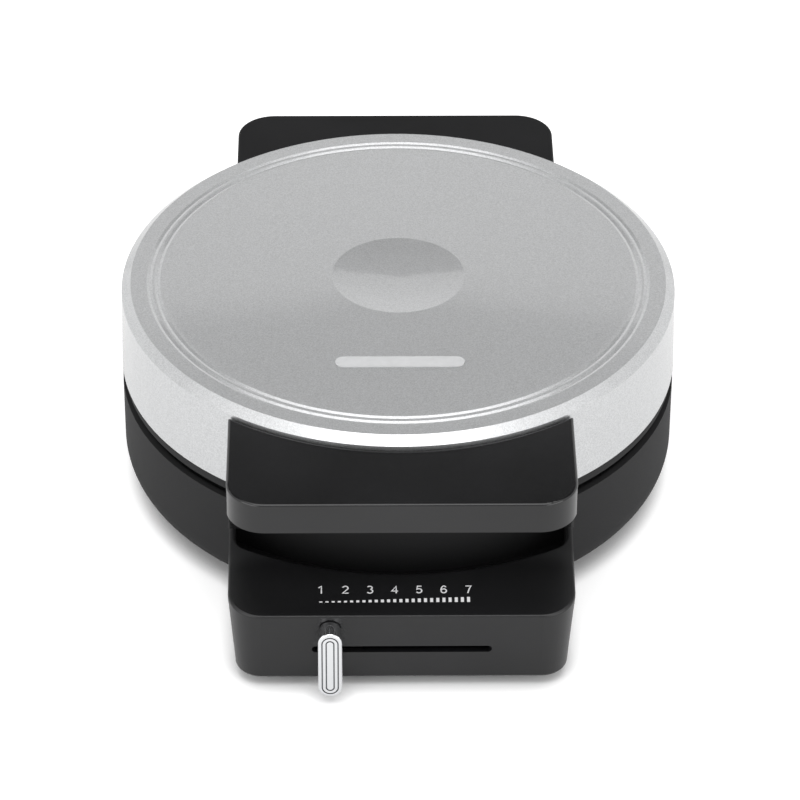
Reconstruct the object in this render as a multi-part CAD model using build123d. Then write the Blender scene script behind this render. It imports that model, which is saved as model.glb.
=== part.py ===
from build123d import *
import math
import os

# Heart waffle maker. Millimetres, +Z up, front towards -Y, width along X.
# It is modelled about the upright axis of its round body, with the floor at height 0.
# save() then moves every piece along Y, so the origin is the middle of the footprint.

# Sizes of the round body
body_radius = 109.2
wall = 2.6
floor_gap = 4.4
bottom_round = 14.0
shell_top = 45.0
corner_rest = 0.3
sheet = 0.8
screw_radius = 2.0
screw_head_radius = 3.7
screw_head_height = 2.4
screw_play = 0.2
screw_edge = 0.6
cross_recess = (4.0, 0.8, 2.4)
seat = 0.1

# Blocks in front of and behind the bowl
block_half_width = 65.0
block_draft = 4.5
block_foot_round = 1.5
edge_round = 1.0
console_depth = 38.7
console_front = body_radius + console_depth
console_corner = 12.5
console_edge_height = 35.5
console_slope = 10.22
rear_depth = 17.8
rear_reach = body_radius + rear_depth
rear_corner = 15.0
deck_play = 2.0

# Finger pocket between bowl and console
pocket_width = 17.3
pocket_reach = body_radius + pocket_width
pocket_arc = 142.6
pocket_floor = 26.0
pocket_corner = 7.0
pocket_lip_round = 0.9
cheek = 2.1

# Bottom opening and its cover
opening_step = 1.2
opening_radius = body_radius - bottom_round - opening_step
opening_inset = 4.0
cover_play = 0.3
cover_screw_inset = (11.0, 12.0)
cover_screw_step = (2.8, 2.3)
cover_screw_depth = 11.0
vent_width = 2.4
vent_length = 26.0
vent_pitch = 8.0
vent_count = 5
foot_radius = 9.0
foot_recess = 1.2
foot_inset = 17.0
front_foot_inset = 19.9
rear_foot_inset = 29.0

# Baking plates
parting_height = 46.85
plate_gap = 0.5
flange_play = 3.1
plate_flange_radius = body_radius - wall - flange_play
flange_width = 7.5
plate_radius = plate_flange_radius - flange_width
flange_thickness = 3.0
plate_inner_thickness = 12.5
plate_outer_thickness = 8.6
thick_zone_step = 16.0
thick_zone_radius = plate_radius - thick_zone_step
rib_drop = 1.2
rib_zone_radius = thick_zone_radius + edge_round
channel_rim = 4.0
channel_outer_radius = plate_radius - channel_rim
channel_depth = 3.5
heart_count = 5
heart_depth = 9.0
heart_draft = 6.0
heart_rib_half = 1.7
heart_rim = 3.94
heart_lobe_overlap = 4.06
heart_tip_round = 4.0
heart_notch_round = 2.5
bump_side = 6.4
bump_pitch = 12.0
bump_drop = 3.2
bump_margin = 2.4
bump_grid_out = 34.0
bump_rows = 8
plate_boss_radius = 5.0
plate_boss_length = 3.0
plate_screw_inset = 8.0
plate_screw_circle = plate_radius - plate_screw_inset
plate_screw_angles = (45.0, 135.0, 225.0, 315.0)
plate_hole_depth = 7.5
post_radius = 4.5
ledge_width = 5.0
ledge_inner_radius = plate_flange_radius - ledge_width
ledge_thickness = 3.2
ledge_gap = 0.2

# Heating elements, their clips and the heat shields
element_set = 8.5
element_tube = 3.5
element_opening = 40.0
element_leg = 8.0
clip_angles = (30.0, 150.0, 270.0)
clip_width = 12.0
clip_reach = 9.5
clip_sheet = 1.2
shield_margin = 8.0
shield_drop = 10.5
shield_rim = 3.0
shield_screw_circle = 30.0
shield_screw_angles = (30.0, 150.0, 270.0)
shield_screw_tip = 3.6
spacer_radius = 3.6

# Lid
lid_bottom = 48.7
frame_lip_height = 52.2
band_bottom = 52.9
band_top = 85.0
lid_top = 88.0
band_overhang = 0.1
lid_band_radius = body_radius + band_overhang
band_draft = 0.7
lid_shoulder_radius = lid_band_radius - band_draft
bevel_width = 3.6
lid_flat_radius = lid_shoulder_radius - bevel_width
dome_inset = 13.0
dome_radius = lid_flat_radius - dome_inset
dome_rise = 0.9
dish_radius = 26.1
dish_depth = 1.3
groove_insets = (10.5, 7.4)
groove_width = 2.2
groove_depth = 0.4
frame_upstand = 65.7
upstand_play = 0.8
frame_upstand_inner = plate_flange_radius + upstand_play
frame_play = 0.2
frame_step = 0.8
frame_tab_reach = 5.4
frame_tab_half_width = 6.8
notch_half_width = 46.0
notch_top = 66.0
window_length = 49.5
window_width = 6.7
window_y = 58.9
window_stand = 0.3
window_flange = 2.0
window_flange_sheet = 1.2

# Handle
handle_depth = 33.4
handle_front = lid_band_radius + handle_depth
handle_corner = 14.5
handle_top = 83.6
handle_lip = 12.8
handle_lip_flat = 10.0
handle_hollow_radius = 20.7
handle_root_bottom = 49.6
handle_wall = 3.0
handle_band_gap = 0.3
handle_split = 0.15
handle_screw_inset_x = 21.0
handle_screw_inset_y = 7.9
handle_screw_boss = 4.0
handle_screw_recess = 0.2
handle_screw_pad = 1.6
fixing_boss_radius = 4.2
front_fixing_x = 30.0
rear_fixing_x = 18.0
fixing_height = 60.5
fixing_reach = 8.0
fixing_face_gap = 1.2
fixing_screw_length = 13.2

# Hinge
hinge_set_back = 10.8
hinge_y = body_radius + hinge_set_back
hinge_clip_play = 0.3
hinge_barrel_radius = 7.0
hinge_half_length = 50.0
hinge_pin_radius = 2.5
hinge_play = 0.05
hinge_float = 4.0
ear_centre = 33.0
ear_width = 10.0
ear_gap = 0.4
ear_half_depth = 4.0
ear_sweep = 10.4
pin_overhang = 2.4
pin_clip_sheet = 0.8
pin_clip_radius = 3.4
bracket_sheet = 2.0
bracket_boss = 6.0
bracket_half_length = 48.0
bracket_front = 9.0
bracket_rear = 3.2
bracket_screw_x = (16.0, 44.0)
bracket_screw_set = 5.0
bracket_screw_length = 5.0

# Slider and its knob
slot_height = 19.0
slot_gap = 3.1
slot_margin = 2.9
slider_rest = -26.8
knob_width = 9.2
knob_tall = 29.7
knob_stand = 8.6
knob_gap = 0.3
knob_front = console_front + knob_stand
knob_root = console_front + knob_gap
knob_draft = 3.4
knob_edge_round = 0.8
knob_line_insets = (1.4, 2.95)
knob_line_width = 0.45
knob_line_depth = 0.4
stem_width = 8.0
stem_height = 2.5
stem_inset = 7.7
stem_end = console_front - stem_inset
carriage_half_length = 12.0
carriage_inset = 4.9
carriage_depth = 11.0
carriage_front = console_front - carriage_inset
carriage_rear = carriage_front - carriage_depth
carriage_top = 25.0
carriage_bottom = 13.0
rod_radius = 2.0
rod_inset = 11.9
rod_y = console_front - rod_inset
rod_post_width = 4.0
rod_post_gap = 3.2
rod_post_half_depth = 4.0
running_play = 0.05
lever_pin_radius = 1.5
lever_pin_bottom = 8.7
lever_pin_set = 7.0
lever_pin_y = rod_y - lever_pin_set
tail_half_width = 6.0
tail_margin = 3.0
tail_rear = lever_pin_y - tail_margin
tail_top = 19.0

# Thermostat with its fork lever
lever_length = 55.0
spindle_y = lever_pin_y - lever_length
spindle_radius = 3.0
lever_bottom = 9.6
lever_sheet = 1.5
lever_hub_radius = 6.0
lever_hub_top = 16.0
lever_half_width = 6.0
fork_inner_margin = 5.5
fork_outer_margin = 3.3
fork_play = 1.2
thermostat_width = 26.0
thermostat_depth = 20.0
thermostat_bottom = 23.0
thermostat_strap = 1.2
strap_ear = 8.0

# Other inner pieces
fuse_radius = 2.2
fuse_length = 16.0
fuse_y = 36.0
terminal_width = 44.0
terminal_depth = 12.0
terminal_tall = 11.0
terminal_set = 25.2
terminal_y = body_radius - terminal_set
terminal_poles = 4
lead_radius = 1.1
lead_bend = 3.0
lead_height = 10.0
lid_lead_height = 83.0
thermostat_lead_x = -9.0
thermostat_lead_set = 4.0
gland_radius = 6.5
gland_bore = 3.9
gland_flange_radius = 9.0
gland_flange = 2.2
gland_length = 14.0
gland_height = 16.0
lamp_radius = 2.4
lamp_length = 7.0
lamp_spread = 11.0
lamp_holder_length = 60.0
lamp_holder_depth = 12.0
lamp_holder_sheet = 1.6

# Heights and places worked out from the sizes above
lower_parting = parting_height - plate_gap / 2
lower_back = lower_parting - plate_inner_thickness
cover_top = floor_gap + wall
hinge_height = lid_bottom - pin_clip_radius - hinge_clip_play
rear_deck = hinge_height - hinge_barrel_radius - deck_play
slot_half_length = stem_width / 2 - slider_rest + slot_margin
rod_half_length = carriage_half_length - slider_rest + rod_post_gap + rod_post_width
element_circle = spindle_y - thermostat_depth / 2 - element_tube - element_set
shield_radius = element_circle + shield_margin
front_end = -knob_front
gland_drop = console_edge_height - gland_height - gland_flange_radius
rear_face_at_gland = rear_reach - gland_drop * math.tan(math.radians(block_draft)) + seat / 2
rear_end = rear_face_at_gland + gland_flange
middle_y = (front_end + rear_end) / 2
hinge_from_shell = rear_deck - wall
bracket_top = hinge_from_shell - bracket_boss
boss_bottom = lower_back - plate_boss_length
tapped_radius = screw_radius + running_play
clear_radius = screw_radius + screw_play
handle_screw_x = block_half_width - handle_screw_inset_x
handle_screw_y = handle_front - handle_screw_inset_y
handle_lip_top = handle_top - handle_lip + handle_wall
screw_pad_top = handle_lip_top + handle_screw_pad


def slope_height(distance):
    """Height of the console's top at a distance in front of the body's axis."""
    rise = math.tan(math.radians(console_slope))
    return console_edge_height + (console_front - distance) * rise


def save(shape, node):
    """Write one piece, moved so that the footprint's middle is the origin."""
    export_step(Pos(0, -middle_y, 0) * shape, "parts/" + node + ".step")


def disc(radius, low, high, x=0.0, y=0.0):
    """Upright round solid between two heights."""
    upright = (Align.CENTER, Align.CENTER, Align.MIN)
    return Pos(x, y, low) * Cylinder(radius, high - low, align=upright)


def box(x_low, x_high, y_low, y_high, z_low, z_high):
    """Square-edged solid between limits."""
    size = Box(x_high - x_low, y_high - y_low, z_high - z_low,
               align=(Align.MIN, Align.MIN, Align.MIN))
    return Pos(x_low, y_low, z_low) * size


def rod_x(radius, y, z, x_low, x_high):
    """Round bar along the width."""
    middle = (x_low + x_high) / 2
    return Pos(middle, y, z) * Rot(0, 90, 0) * Cylinder(radius, x_high - x_low)


def rod_y_way(radius, x, z, y_low, y_high):
    """Round bar along the depth."""
    middle = (y_low + y_high) / 2
    return Pos(x, middle, z) * Rot(90, 0, 0) * Cylinder(radius, y_high - y_low)


def turned(points):
    """Solid turned about the upright axis from an outline of radius and height."""
    return revolve(Plane.XZ * make_face(Polyline(*points, close=True)), Axis.Z)


def on_circle(radius, angle):
    """Place on a circle about the upright axis."""
    turn = math.radians(angle)
    return radius * math.cos(turn), radius * math.sin(turn)


def screw(x, y, head, tip):
    """Cross-recessed screw on an upright axis, from its head's outer face to its tip."""
    neck = head + math.copysign(screw_head_height, tip - head)
    body = disc(screw_head_radius, min(head, neck), max(head, neck), x, y)
    rims = body.edges().filter_by(GeomType.CIRCLE).sort_by_distance((x, y, head))
    body = chamfer(rims[:1], screw_edge)
    body = body + disc(screw_radius, min(neck, tip), max(neck, tip), x, y)
    for turn in (0, 90):
        body = body - Pos(x, y, head) * Rot(0, 0, turn) * Box(*cross_recess)
    return body


def block_plan(reach, corner, half_width, front):
    """Plan of a block that runs from inside the bowl to its rounded outer corners."""
    inner = body_radius / 2
    far = -reach if front else reach
    near = -inner if front else inner
    outline = Polyline((-half_width, near), (half_width, near), (half_width, far),
                       (-half_width, far), close=True)
    plan = make_face(outline)
    corners = plan.vertices().sort_by(Axis.Y)
    return fillet(corners[:2] if front else corners[2:], corner)


def block_solid(reach, corner, half_width, front, low, high, level, inset=0.0, foot=0.0):
    """Block that narrows below a level by the moulding draft."""
    plan = block_plan(reach - inset, corner - inset, half_width - inset, front)
    lower = extrude(Pos(0, 0, level) * plan, amount=low - level, taper=block_draft)
    if foot:
        lower = fillet(lower.edges().group_by(Axis.Z)[0], foot)
    if high < level:
        return lower - Pos(0, 0, high) * Box(4 * reach, 4 * reach, level,
                                             align=(Align.CENTER, Align.CENTER, Align.MIN))
    return lower + extrude(Pos(0, 0, level) * plan, amount=high - level)


def above_slope(drop=0.0):
    """Everything above the console's sloping top, lowered by a drop."""
    size = 4 * body_radius
    tilt = Pos(0, -console_front, console_edge_height - drop) * Rot(console_slope, 0, 0)
    return tilt * Box(size, size, size, align=(Align.CENTER, Align.CENTER, Align.MIN))


def top_edges(console):
    """Edges round the console's sloping top, without the one inside the bowl."""
    found = []
    for edge in console.edges():
        middle = edge @ 0.5
        level = min(slope_height(-middle.Y), shell_top)
        ends = [abs((edge @ end).Z - min(slope_height(-(edge @ end).Y), shell_top)) < seat
                for end in (0, 1)]
        across = abs((edge @ 0).X - (edge @ 1).X) > body_radius and middle.Y > -body_radius
        if abs(middle.Z - level) < seat and all(ends) and not across:
            found.append(edge)
    return found


def pocket_solid(grow, half_width, corner, low):
    """Space in front of the bowl, bounded by an arc and two cheeks; grow widens its arc."""
    front = Pos(0, -console_front) * Rectangle(2 * half_width, 2 * console_front)
    plan = front & Pos(0, pocket_arc - pocket_reach) * Circle(pocket_arc + grow)
    ends = plan.vertices().sort_by(Axis.Y)[:2]
    plan = fillet(ends, corner) - Circle(body_radius)
    return extrude(Pos(0, 0, low) * plan, amount=lid_top - low)


def cover_screw_places():
    """Screws that hold the base cover to the console and the rear block."""
    for inset, step, way in zip(cover_screw_inset, cover_screw_step, (-1, 1)):
        x = block_half_width - inset
        yield from ((x, way * (body_radius + step)), (-x, way * (body_radius + step)))


def plate_screw_places():
    """Screws that hold a baking plate, on a circle."""
    for angle in plate_screw_angles:
        yield on_circle(plate_screw_circle, angle)


def bracket_screw_places():
    """Screws that hold the hinge bracket under the rear deck."""
    for x in bracket_screw_x:
        y = hinge_y - bracket_screw_set
        yield from ((x, y), (-x, y))


def shield_screw_places():
    """Screws that hold a heat shield to the pillars of its plate."""
    for angle in shield_screw_angles:
        yield on_circle(shield_screw_circle, angle)


def mirrored(shape):
    """The same piece in the other half of the maker."""
    return mirror(shape, about=Plane.XY.offset(parting_height))


# Base shell: bowl, console and rear block in one moulding
def bowl_outline(radius, low, round_radius):
    """Turned outline of the bowl with its rounded bottom edge."""
    outline = make_face(Polyline((0, low), (radius, low), (radius, shell_top),
                                 (0, shell_top), close=True))
    corner = outline.vertices().sort_by_distance((radius, low, 0))[0]
    return fillet([corner], round_radius)


def bottom_opening(play=0.0):
    """Plan of the opening in the bottom, which the base cover fills."""
    shrink = (console_edge_height - floor_gap) * math.tan(math.radians(block_draft))
    half = block_half_width - shrink - opening_inset
    plan = Circle(opening_radius - play)
    for front, reach, corner in ((True, console_front, console_corner),
                                 (False, rear_reach, rear_corner)):
        plan = plan + block_plan(reach - shrink - opening_inset - play,
                                 corner - opening_inset - play, half - play, front)
    return plan


def base_shell():
    """Black moulding with bowl, console, finger pocket, rear block and plate ledge."""
    console = block_solid(console_front, console_corner, block_half_width, True, floor_gap,
                          shell_top, console_edge_height, foot=block_foot_round)
    console = console - above_slope()
    console = fillet(top_edges(console), edge_round)
    pocket = pocket_solid(0, block_half_width - cheek, pocket_corner, pocket_floor)
    console = console - pocket
    lip = [edge for edge in top_edges(console) if edge.center().Y > -pocket_reach - seat
           and abs(edge.center().X) < block_half_width - cheek + seat]
    console = fillet(lip, pocket_lip_round)
    rear = block_solid(rear_reach, rear_corner, block_half_width, False, floor_gap,
                       rear_deck, console_edge_height, foot=block_foot_round)
    bowl = revolve(Plane.XZ * bowl_outline(body_radius, floor_gap, bottom_round), Axis.Z)
    outer = bowl + console + rear

    hollow = revolve(Plane.XZ * bowl_outline(body_radius - wall, cover_top,
                                             bottom_round - wall), Axis.Z)
    console_hollow = block_solid(console_front, console_corner, block_half_width, True,
                                 cover_top, shell_top, console_edge_height, inset=wall)
    console_hollow = console_hollow - above_slope(wall)
    tub = pocket_solid(wall, block_half_width, pocket_corner + wall, pocket_floor - wall)
    wall_above_tub = (disc(body_radius + seat, pocket_floor - wall, shell_top)
                      - disc(body_radius - wall, pocket_floor - wall, shell_top))
    console_hollow = console_hollow - tub - wall_above_tub
    rear_hollow = block_solid(rear_reach, rear_corner, block_half_width, False, cover_top,
                              hinge_from_shell, console_edge_height, inset=wall)
    opening = extrude(Pos(0, 0, floor_gap - 1) * bottom_opening(), amount=wall + 2)

    ledge_top = lower_parting - flange_thickness - ledge_gap
    ledge = turned([(ledge_inner_radius, ledge_top),
                    (body_radius - wall + seat, ledge_top),
                    (body_radius - wall + seat, ledge_top - 2 * ledge_thickness),
                    (ledge_inner_radius, ledge_top - ledge_thickness)])
    shell = outer - hollow - console_hollow - rear_hollow - opening + ledge

    slot = Pos(0, -console_front, slot_height) * Rot(90, 0, 0) * extrude(
        SlotOverall(2 * slot_half_length, slot_gap), amount=3 * wall, both=True)
    gland_hole = rod_y_way(gland_radius + corner_rest, 0, gland_height,
                           rear_reach - 4 * wall, rear_reach + wall)
    shell = shell - slot - gland_hole
    for side in (-1, 1):
        middle = side * ear_centre
        half = ear_width / 2 + ear_gap
        shell = shell - box(middle - half, middle + half,
                            hinge_y - ear_half_depth - ear_gap,
                            hinge_y + ear_half_depth + ear_gap,
                            bracket_top - 2 * bracket_sheet, rear_deck + wall)
    for x, y in bracket_screw_places():
        shell = shell + disc(post_radius, bracket_top, hinge_from_shell + seat, x, y)
        shell = shell - disc(tapped_radius, bracket_top - seat, hinge_from_shell, x, y)
    for x, y in cover_screw_places():
        top = pocket_floor - wall if y < 0 else hinge_from_shell
        shell = shell + disc(post_radius, cover_top + seat, top + seat, x, y)
        shell = shell - disc(tapped_radius, cover_top, cover_top + cover_screw_depth, x, y)
    return shell


# Base cover with its feet, posts and screws
def foot_places():
    """Centres of the four feet."""
    half = block_half_width - foot_inset
    front = -(console_front - front_foot_inset)
    rear = rear_reach - rear_foot_inset
    return ((-half, front), (half, front), (-half, rear), (half, rear))


def base_cover():
    """Flat cover in the bottom opening, with posts up to the plate and to the guide rod."""
    cover = extrude(Pos(0, 0, floor_gap) * bottom_opening(cover_play), amount=wall)
    for x, y in plate_screw_places():
        cover = cover + disc(post_radius, floor_gap, boss_bottom - seat, x, y)
    for side in (-1, 1):
        outer = side * rod_half_length
        inner = side * (rod_half_length - rod_post_width)
        post = box(min(outer, inner), max(outer, inner), -rod_y - rod_post_half_depth,
                   -rod_y + rod_post_half_depth, floor_gap, slot_height + 2 * rod_radius)
        cover = cover + post
    cover = cover - rod_x(rod_radius + running_play, -rod_y, slot_height,
                          -rod_half_length, rod_half_length)
    for x, y in (*plate_screw_places(), *cover_screw_places()):
        cover = cover - disc(clear_radius, 0, boss_bottom, x, y)
    for x, y in foot_places():
        cover = cover - disc(foot_radius + seat, 0, floor_gap + foot_recess, x, y)
    middle = (vent_count - 1) / 2
    for row in (-1, 1):
        for step in range(vent_count):
            vent = extrude(SlotOverall(vent_length, vent_width), amount=cover_top)
            cover = cover - Pos(row * vent_length, (step - middle) * vent_pitch, 0) * vent
    return cover


def rubber_feet():
    """Four rubber pads in shallow seats of the base cover."""
    pads = []
    for x, y in foot_places():
        pad = disc(foot_radius, 0, floor_gap + foot_recess, x, y)
        pads.append(chamfer(pad.edges().group_by(Axis.Z)[0], edge_round))
    return Compound(children=pads)


def group(shapes):
    """Several separate solids in one node."""
    return Compound(children=list(shapes))


def base_cover_screws():
    """Short screws through the cover into the shell's posts."""
    head = floor_gap - screw_head_height
    tip = cover_top + cover_screw_depth - screw_play
    return group(screw(x, y, head, tip) for x, y in cover_screw_places())


def lower_plate_screws():
    """Long screws through cover and posts into the plate."""
    head = floor_gap - screw_head_height
    tip = boss_bottom + plate_hole_depth - screw_play
    return group(screw(x, y, head, tip) for x, y in plate_screw_places())


# Baking plates with five hearts
heart_half = math.radians(180 / heart_count)
heart_tip = heart_rib_half / math.sin(heart_half)
heart_reach = rib_zone_radius - heart_rim
heart_lobe = (((heart_reach - heart_tip) * math.sin(heart_half)
               + heart_lobe_overlap * math.cos(heart_half))
              / (1 + math.sin(heart_half) + math.cos(heart_half)))
heart_lobe_out = heart_reach - heart_lobe
heart_lobe_side = heart_lobe - heart_lobe_overlap


def heart_plan(inset=0.0):
    """Heart that points along +X from the plate's middle, drawn in by an inset."""
    tip = (heart_rib_half + inset) / math.sin(heart_half)
    lobe = heart_lobe - inset
    notch = (heart_lobe_out + math.sqrt(lobe ** 2 - heart_lobe_side ** 2), 0)
    touch = (heart_lobe_out - lobe * math.sin(heart_half),
             heart_lobe_side + lobe * math.cos(heart_half))
    crest = (heart_lobe_out + lobe / 2, heart_lobe_side + lobe * math.sqrt(3) / 2)
    outline = [Line((tip, 0), (touch[0], -touch[1])),
               ThreePointArc((touch[0], -touch[1]), (crest[0], -crest[1]), notch),
               ThreePointArc(notch, crest, touch),
               Line(touch, (tip, 0))]
    plan = make_face(Curve() + outline)
    plan = fillet(plan.vertices().sort_by(Axis.X)[:1], heart_tip_round - inset)
    return fillet(plan.vertices().sort_by_distance((*notch, 0))[:1], heart_notch_round + inset)


def in_heart(out, side, margin):
    """Whether a point lies in the heart, clear of its wall."""
    side = abs(side)
    from_edge = (out - heart_tip) * math.sin(heart_half) - side * math.cos(heart_half)
    if from_edge < margin:
        return False
    from_lobe = math.hypot(out - heart_lobe_out, side - heart_lobe_side)
    return out <= heart_lobe_out or from_lobe <= heart_lobe - margin


def bump_places():
    """Middles of the grid's square bumps, which stand on their corners in the heart."""
    reach = bump_side / math.sqrt(2)
    step = bump_pitch / math.sqrt(2)
    for row in range(-bump_rows, bump_rows + 1):
        for column in range(-bump_rows, bump_rows + 1):
            out = bump_grid_out + (row + column) * step
            side = (row - column) * step
            tips = ((reach, 0), (-reach, 0), (0, reach), (0, -reach))
            if all(in_heart(out + x, side + y, bump_margin) for x, y in tips):
                yield out, side


def heart_cavity():
    """Space of one heart below the ribs' top, with its bumps left standing."""
    depth = heart_depth - rib_drop
    inset = depth * math.tan(math.radians(heart_draft))
    cavity = loft([heart_plan(), Pos(0, 0, -depth) * heart_plan(inset)], ruled=True)
    bump = extrude(Rot(0, 0, 45) * Rectangle(bump_side, bump_side),
                   amount=bump_drop - heart_depth - seat, taper=-heart_draft)
    return cavity - [Pos(out, side, rib_drop - bump_drop) * bump for out, side in bump_places()]


def baking_plate():
    """Cast plate for the base: hearts, overflow channel, flange, bosses and pillars."""
    top = lower_parting
    back = lower_back
    outer_back = top - plate_outer_thickness
    outline = [(0, back), (thick_zone_radius, back), (thick_zone_radius, outer_back),
               (plate_radius, outer_back), (plate_radius, top - flange_thickness),
               (plate_flange_radius, top - flange_thickness), (plate_flange_radius, top),
               (channel_outer_radius, top), (channel_outer_radius - edge_round,
                                             top - channel_depth),
               (rib_zone_radius + edge_round, top - channel_depth),
               (rib_zone_radius, top - rib_drop), (0, top - rib_drop)]
    plate = turned(outline)
    for x, y in plate_screw_places():
        plate = plate + disc(plate_boss_radius, boss_bottom, outer_back + seat, x, y)
        plate = plate - disc(tapped_radius, boss_bottom - seat,
                             boss_bottom + plate_hole_depth, x, y)
    shield_top = back - shield_drop + sheet
    for x, y in shield_screw_places():
        plate = plate + disc(spacer_radius, shield_top + seat, back + seat, x, y)
        plate = plate - disc(tapped_radius, shield_top, back - seat, x, y)
    cavity = heart_cavity()
    for step in range(heart_count):
        turn = 90 + 360 / heart_count * step
        plate = plate - Pos(0, 0, top - rib_drop) * Rot(0, 0, turn) * cavity
    return plate


# Heating element under the lower plate, its clips and the heat shield
element_height = lower_back - element_tube - seat


def element_ends():
    """Places of the element's two ends, either side of the rear."""
    for side in (-1, 1):
        yield on_circle(element_circle, 90 + side * element_opening / 2)


def heating_element():
    """Tube bent to an open ring, with its ends turned away from the plate."""
    section = Plane.XZ * (Pos(element_circle, element_height) * Circle(element_tube))
    tube = Rot(0, 0, 90 + element_opening / 2) * revolve(
        section, Axis.Z, revolution_arc=360 - element_opening)
    pin_end = element_height - element_leg - 2 * element_tube
    for x, y in element_ends():
        tube = tube + Pos(x, y, element_height) * Sphere(element_tube)
        tube = tube + disc(element_tube, element_height - element_leg, element_height, x, y)
        tube = tube + disc(element_tube / 3, pin_end, element_height - element_leg, x, y)
    return tube


def element_clips():
    """Saddles that hold the element to the plate, each with two rivet heads."""
    inner = element_tube + seat / 2
    outer = inner + clip_sheet
    flat = element_tube - clip_sheet / 2 + seat / 2
    section = Circle(outer) & Pos(0, -outer) * Rectangle(2 * outer, 2 * outer)
    section = section + Pos(0, flat / 2) * Rectangle(2 * outer, flat)
    section = section + Pos(0, flat) * Rectangle(2 * clip_reach, clip_sheet)
    section = section - Circle(inner) - Pos(0, outer) * Rectangle(2 * inner, 2 * outer)
    turn = math.degrees(clip_width / element_circle)
    saddle = Rot(0, 0, -turn / 2) * revolve(
        Plane.XZ * Pos(element_circle, element_height) * section, Axis.Z, revolution_arc=turn)
    rivet_low = element_height + flat - 3 * clip_sheet / 2
    for side in (-1, 1):
        saddle = saddle + disc(clip_sheet, rivet_low, element_height + flat,
                               element_circle + side * (clip_reach + outer) / 2)
    clips = [Rot(0, 0, angle) * saddle for angle in clip_angles]
    return group(clips)


def heat_shield():
    """Sheet dish that keeps the heat off the shell."""
    low = lower_back - shield_drop
    shield = turned([(0, low), (shield_radius, low), (shield_radius, low + shield_rim),
                     (shield_radius - sheet, low + shield_rim),
                     (shield_radius - sheet, low + sheet), (0, low + sheet)])
    for x, y in shield_screw_places():
        shield = shield - disc(clear_radius, low - seat, low + 2 * sheet, x, y)
    for x, y in element_ends():
        shield = shield - disc(element_tube + sheet, low - seat, low + 2 * sheet, x, y)
    return shield


def shield_screws():
    """Screws through the shield into the plate's pillars."""
    low = lower_back - shield_drop
    head = low - screw_head_height
    return group(screw(x, y, head, lower_back - shield_screw_tip)
                 for x, y in shield_screw_places())


# Thermostat, spindle and fork lever
slider_angle = math.degrees(math.atan2(slider_rest, lever_length))
lever_inner_reach = lever_length - fork_inner_margin
lever_outer_reach = math.hypot(lever_length, slider_rest) + fork_outer_margin
fork_half_gap = lever_pin_radius + fork_play


def thermostat_body():
    """Switch body under the front of the plate, with a bore for its spindle."""
    half = thermostat_width / 2
    deep = thermostat_depth / 2
    low = thermostat_bottom
    high = lower_back - thermostat_strap - seat
    body = box(-half, half, -spindle_y - deep, -spindle_y + deep, low, high)
    body = fillet(body.edges().filter_by(Axis.Z), 2 * edge_round)
    depth = (high - low) / 2
    return body - disc(spindle_radius + running_play, low - seat, low + depth, 0, -spindle_y)


def thermostat_bracket():
    """Strap between the switch body and the plate, with an ear each side."""
    half = thermostat_width / 2 + strap_ear
    deep = thermostat_depth / 2 - 2 * edge_round
    high = lower_back - seat / 2
    low = high - thermostat_strap
    strap = box(-half, half, -spindle_y - deep, -spindle_y + deep, low, high)
    strap = fillet(strap.edges().filter_by(Axis.Z), 2 * edge_round)
    strap = strap & disc(thick_zone_radius + deep, low, high)
    for side in (-1, 1):
        middle = side * (thermostat_width + strap_ear) / 2
        strap = strap + disc(screw_radius, low - thermostat_strap, low + seat, middle,
                             -spindle_y + deep / 2)
    return strap


def thermostat_spindle():
    """Spindle that carries the lever and turns in the switch body."""
    depth = (lower_back - thermostat_strap - seat - thermostat_bottom) / 2
    return disc(spindle_radius, lever_bottom - 2 * seat, thermostat_bottom + depth - seat,
                0, -spindle_y)


def fork_lever():
    """Sheet lever clamped on the spindle; its fork takes the carriage's pin."""
    blade = box(-lever_half_width, lever_half_width, -lever_outer_reach, 0,
                lever_bottom, lever_bottom + lever_sheet)
    hub = disc(lever_hub_radius, lever_bottom, lever_hub_top)
    fork = box(-fork_half_gap, fork_half_gap, -lever_outer_reach - seat, -lever_inner_reach,
               0, lever_hub_top)
    fork = fork + disc(fork_half_gap, 0, lever_hub_top, 0, -lever_inner_reach)
    lever = blade + hub - fork - disc(spindle_radius + running_play, 0, lever_hub_top + seat)
    return Pos(0, -spindle_y, 0) * Rot(0, 0, slider_angle) * lever


# Slider: knob, stem, carriage and guide rod
def slider_knob():
    """Upright chrome knob with a stem through the slot."""
    plane = Plane(origin=(slider_rest, -knob_front, slot_height), x_dir=(0, 0, 1),
                  z_dir=(0, 1, 0))
    knob = extrude(plane * SlotOverall(knob_tall, knob_width), amount=knob_front - knob_root,
                   taper=knob_draft)
    knob = fillet(knob.faces().sort_by(Axis.Y)[0].edges(), knob_edge_round)
    for inset in knob_line_insets:
        line = SlotOverall(knob_tall - 2 * inset, knob_width - 2 * inset)
        inside = inset + knob_line_width
        line = line - SlotOverall(knob_tall - 2 * inside, knob_width - 2 * inside)
        knob = knob - extrude(plane * line, amount=knob_line_depth)
    return knob + box(slider_rest - stem_width / 2, slider_rest + stem_width / 2,
                      -knob_root - seat, -stem_end,
                      slot_height - stem_height / 2, slot_height + stem_height / 2)


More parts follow.
